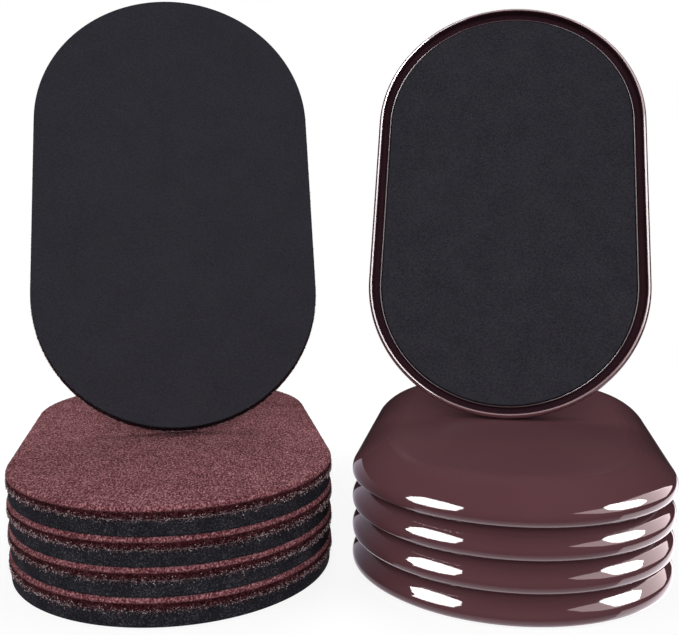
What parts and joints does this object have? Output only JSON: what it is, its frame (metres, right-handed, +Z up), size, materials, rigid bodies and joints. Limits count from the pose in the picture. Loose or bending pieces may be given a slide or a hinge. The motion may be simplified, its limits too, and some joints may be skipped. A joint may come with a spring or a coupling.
{
  "type": "furniture slider set",
  "caption": "Furniture sliders with straight sides and round ends: laminated felt and foam ones for hard floors, moulded plastic ones with foam pads for carpet, stacked and standing.",
  "frame": {"origin": "on the floor, midway between the two stacks: bottom centre of the bounding box", "axes": "+Z up, +X from the felt stack to the carpet stack, +Y to the back; the grip faces of the standing sliders face -Y"},
  "size_m": [0.335, 0.2396, 0.2758],
  "materials": {
    "needle_felt": "maroon needle-punched felt",
    "bond_film": "pale laminating film",
    "smooth_foam": "black closed-cell foam, smooth skin",
    "gloss_plastic": "glossy moulded maroon-brown plastic",
    "pad_film": "adhesive film",
    "grained_foam": "black foam with a fine grain"
  },
  "bodies": {
    "felt_slider_1": {"felt_sole_1": "needle_felt", "bond_film_1": "bond_film", "foam_grip_1": "smooth_foam"},
    "felt_slider_2": {"felt_sole_2": "needle_felt", "bond_film_2": "bond_film", "foam_grip_2": "smooth_foam"},
    "felt_slider_3": {"felt_sole_3": "needle_felt", "bond_film_3": "bond_film", "foam_grip_3": "smooth_foam"},
    "felt_slider_4": {"felt_sole_4": "needle_felt", "bond_film_4": "bond_film", "foam_grip_4": "smooth_foam"},
    "felt_slider_5": {"felt_sole_5": "needle_felt", "bond_film_5": "bond_film", "foam_grip_5": "smooth_foam"},
    "carpet_slider_1": {"plastic_shell_1": "gloss_plastic", "pad_film_1": "pad_film", "foam_pad_1": "grained_foam"},
    "carpet_slider_2": {"plastic_shell_2": "gloss_plastic", "pad_film_2": "pad_film", "foam_pad_2": "grained_foam"},
    "carpet_slider_3": {"plastic_shell_3": "gloss_plastic", "pad_film_3": "pad_film", "foam_pad_3": "grained_foam"},
    "carpet_slider_4": {"plastic_shell_4": "gloss_plastic", "pad_film_4": "pad_film", "foam_pad_4": "grained_foam"},
    "carpet_slider_5": {"plastic_shell_5": "gloss_plastic", "pad_film_5": "pad_film", "foam_pad_5": "grained_foam"}
  },
  "joints": [
    {"name": "felt_lift_2", "type": "slide", "parent": "felt_slider_1", "child": "felt_slider_2", "axis": [0, 0, 1], "range_m": [0, 0.06]},
    {"name": "felt_lift_3", "type": "slide", "parent": "felt_slider_2", "child": "felt_slider_3", "axis": [0, 0, 1], "range_m": [0, 0.06]},
    {"name": "felt_lift_4", "type": "slide", "parent": "felt_slider_3", "child": "felt_slider_4", "axis": [0, 0, 1], "range_m": [0, 0.06]},
    {"name": "felt_lift_5", "type": "slide", "parent": "felt_slider_4", "child": "felt_slider_5", "axis": [0, 0, 1], "range_m": [0, 0.1]},
    {"name": "carpet_lift_2", "type": "slide", "parent": "carpet_slider_1", "child": "carpet_slider_2", "axis": [0, 0, 1], "range_m": [0, 0.06]},
    {"name": "carpet_lift_3", "type": "slide", "parent": "carpet_slider_2", "child": "carpet_slider_3", "axis": [0, 0, 1], "range_m": [0, 0.06]},
    {"name": "carpet_lift_4", "type": "slide", "parent": "carpet_slider_3", "child": "carpet_slider_4", "axis": [0, 0, 1], "range_m": [0, 0.06]},
    {"name": "carpet_lift_5", "type": "slide", "parent": "carpet_slider_4", "child": "carpet_slider_5", "axis": [0, 0, 1], "range_m": [0, 0.1]},
    {"name": "carpet_glide", "type": "slide", "parent": "felt_slider_1", "child": "carpet_slider_1", "axis": [1, 0, 0], "range_m": [0, 0.15]}
  ]
}
